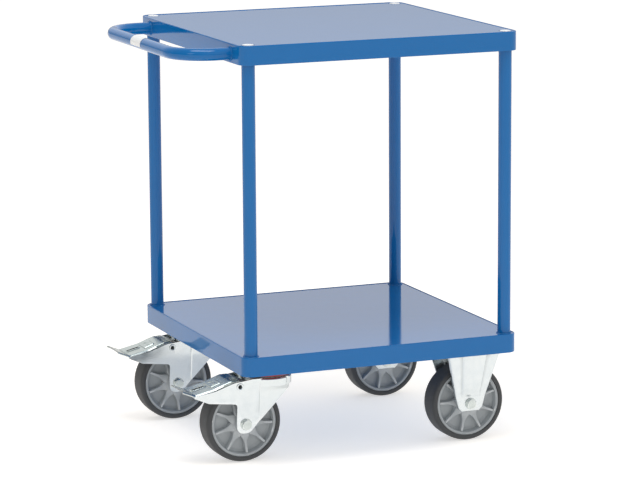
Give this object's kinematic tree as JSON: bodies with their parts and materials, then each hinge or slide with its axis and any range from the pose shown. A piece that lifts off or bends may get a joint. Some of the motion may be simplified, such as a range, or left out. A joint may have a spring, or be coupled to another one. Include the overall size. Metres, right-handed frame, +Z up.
{
  "type": "two-tier table trolley",
  "caption": "Square two-tier table trolley with steel decks on tube posts, a push handle on one end, braked swivel castors under the handle and fixed castors opposite.",
  "frame": {"origin": "on the floor, under the middle of the whole trolley including its handle", "axes": "+Z up; -X towards the push handle and the swivel castors; +X towards the fixed castors; +Y to the left of a person pushing it"},
  "size_m": [0.715, 0.6, 0.8527],
  "materials": {
    "blue_paint": "glossy powder coat",
    "bright_zinc": "bright zinc plate",
    "bare_steel": "dull plated steel",
    "wheel_plastic": "moulded, slightly shiny",
    "tyre_rubber": "matt non-marking rubber",
    "red_plastic": "moulded",
    "white_plastic": "smooth"
  },
  "bodies": {
    "chassis": {"lower_rim": "blue_paint", "lower_deck": "blue_paint", "lower_stiffener": "blue_paint", "upper_rim": "blue_paint", "upper_deck": "blue_paint", "upper_stiffener": "blue_paint", "rear_right_post": "blue_paint", "rear_right_post_cap": "white_plastic", "rear_left_post": "blue_paint", "rear_left_post_cap": "white_plastic", "front_right_post": "blue_paint", "front_right_post_cap": "white_plastic", "front_left_post": "blue_paint", "front_left_post_cap": "white_plastic", "right_castor_rail": "blue_paint", "left_castor_rail": "blue_paint", "push_handle": "blue_paint", "handle_label": "white_plastic", "rear_right_swivel_plate": "bright_zinc", "rear_right_dust_ring": "red_plastic", "rear_right_ball_race": "bare_steel", "rear_right_king_pin": "bare_steel", "rear_left_swivel_plate": "bright_zinc", "rear_left_dust_ring": "red_plastic", "rear_left_ball_race": "bare_steel", "rear_left_king_pin": "bare_steel", "front_right_fixed_bracket": "bright_zinc", "front_right_axle_bolt": "bright_zinc", "front_right_axle_nut": "bright_zinc", "front_left_fixed_bracket": "bright_zinc", "front_left_axle_bolt": "bright_zinc", "front_left_axle_nut": "bright_zinc"},
    "rear_right_castor": {"rear_right_fork": "bright_zinc", "rear_right_outer_pedal_rivet": "bright_zinc", "rear_right_inner_pedal_rivet": "bright_zinc", "rear_right_axle_bolt": "bright_zinc", "rear_right_axle_nut": "bright_zinc"},
    "rear_right_brake": {"rear_right_brake_pedal": "bare_steel", "rear_right_brake_shoe": "bare_steel"},
    "rear_right_wheel": {"rear_right_tyre": "tyre_rubber", "rear_right_wheel_rim": "wheel_plastic", "rear_right_wheel_bearing": "bare_steel"},
    "rear_left_castor": {"rear_left_fork": "bright_zinc", "rear_left_outer_pedal_rivet": "bright_zinc", "rear_left_inner_pedal_rivet": "bright_zinc", "rear_left_axle_bolt": "bright_zinc", "rear_left_axle_nut": "bright_zinc"},
    "rear_left_brake": {"rear_left_brake_pedal": "bare_steel", "rear_left_brake_shoe": "bare_steel"},
    "rear_left_wheel": {"rear_left_tyre": "tyre_rubber", "rear_left_wheel_rim": "wheel_plastic", "rear_left_wheel_bearing": "bare_steel"},
    "front_right_wheel": {"front_right_tyre": "tyre_rubber", "front_right_wheel_rim": "wheel_plastic", "front_right_wheel_bearing": "bare_steel"},
    "front_left_wheel": {"front_left_tyre": "tyre_rubber", "front_left_wheel_rim": "wheel_plastic", "front_left_wheel_bearing": "bare_steel"}
  },
  "joints": [
    {"name": "rear_right_swivel", "type": "hinge", "parent": "chassis", "child": "rear_right_castor", "pos_m": [-0.15745, -0.2, 0.17], "axis": [0, 0, 1], "continuous": true},
    {"name": "rear_right_wheel_spin", "type": "hinge", "parent": "rear_right_castor", "child": "rear_right_wheel", "pos_m": [-0.21595, -0.2, 0.08], "axis": [0, 1, 0], "continuous": true},
    {"name": "rear_right_brake_press", "type": "hinge", "parent": "rear_right_castor", "child": "rear_right_brake", "pos_m": [-0.22995, -0.2, 0.1595], "axis": [0, -1, 0], "range_deg": [0, 9]},
    {"name": "rear_left_swivel", "type": "hinge", "parent": "chassis", "child": "rear_left_castor", "pos_m": [-0.15745, 0.2, 0.17], "axis": [0, 0, 1], "continuous": true},
    {"name": "rear_left_wheel_spin", "type": "hinge", "parent": "rear_left_castor", "child": "rear_left_wheel", "pos_m": [-0.21595, 0.2, 0.08], "axis": [0, 1, 0], "continuous": true},
    {"name": "rear_left_brake_press", "type": "hinge", "parent": "rear_left_castor", "child": "rear_left_brake", "pos_m": [-0.22995, 0.2, 0.1595], "axis": [0, -1, 0], "range_deg": [0, 9]},
    {"name": "front_right_wheel_spin", "type": "hinge", "parent": "chassis", "child": "front_right_wheel", "pos_m": [0.27305, -0.216, 0.08], "axis": [0, 1, 0], "continuous": true},
    {"name": "front_left_wheel_spin", "type": "hinge", "parent": "chassis", "child": "front_left_wheel", "pos_m": [0.27305, 0.216, 0.08], "axis": [0, 1, 0], "continuous": true}
  ]
}
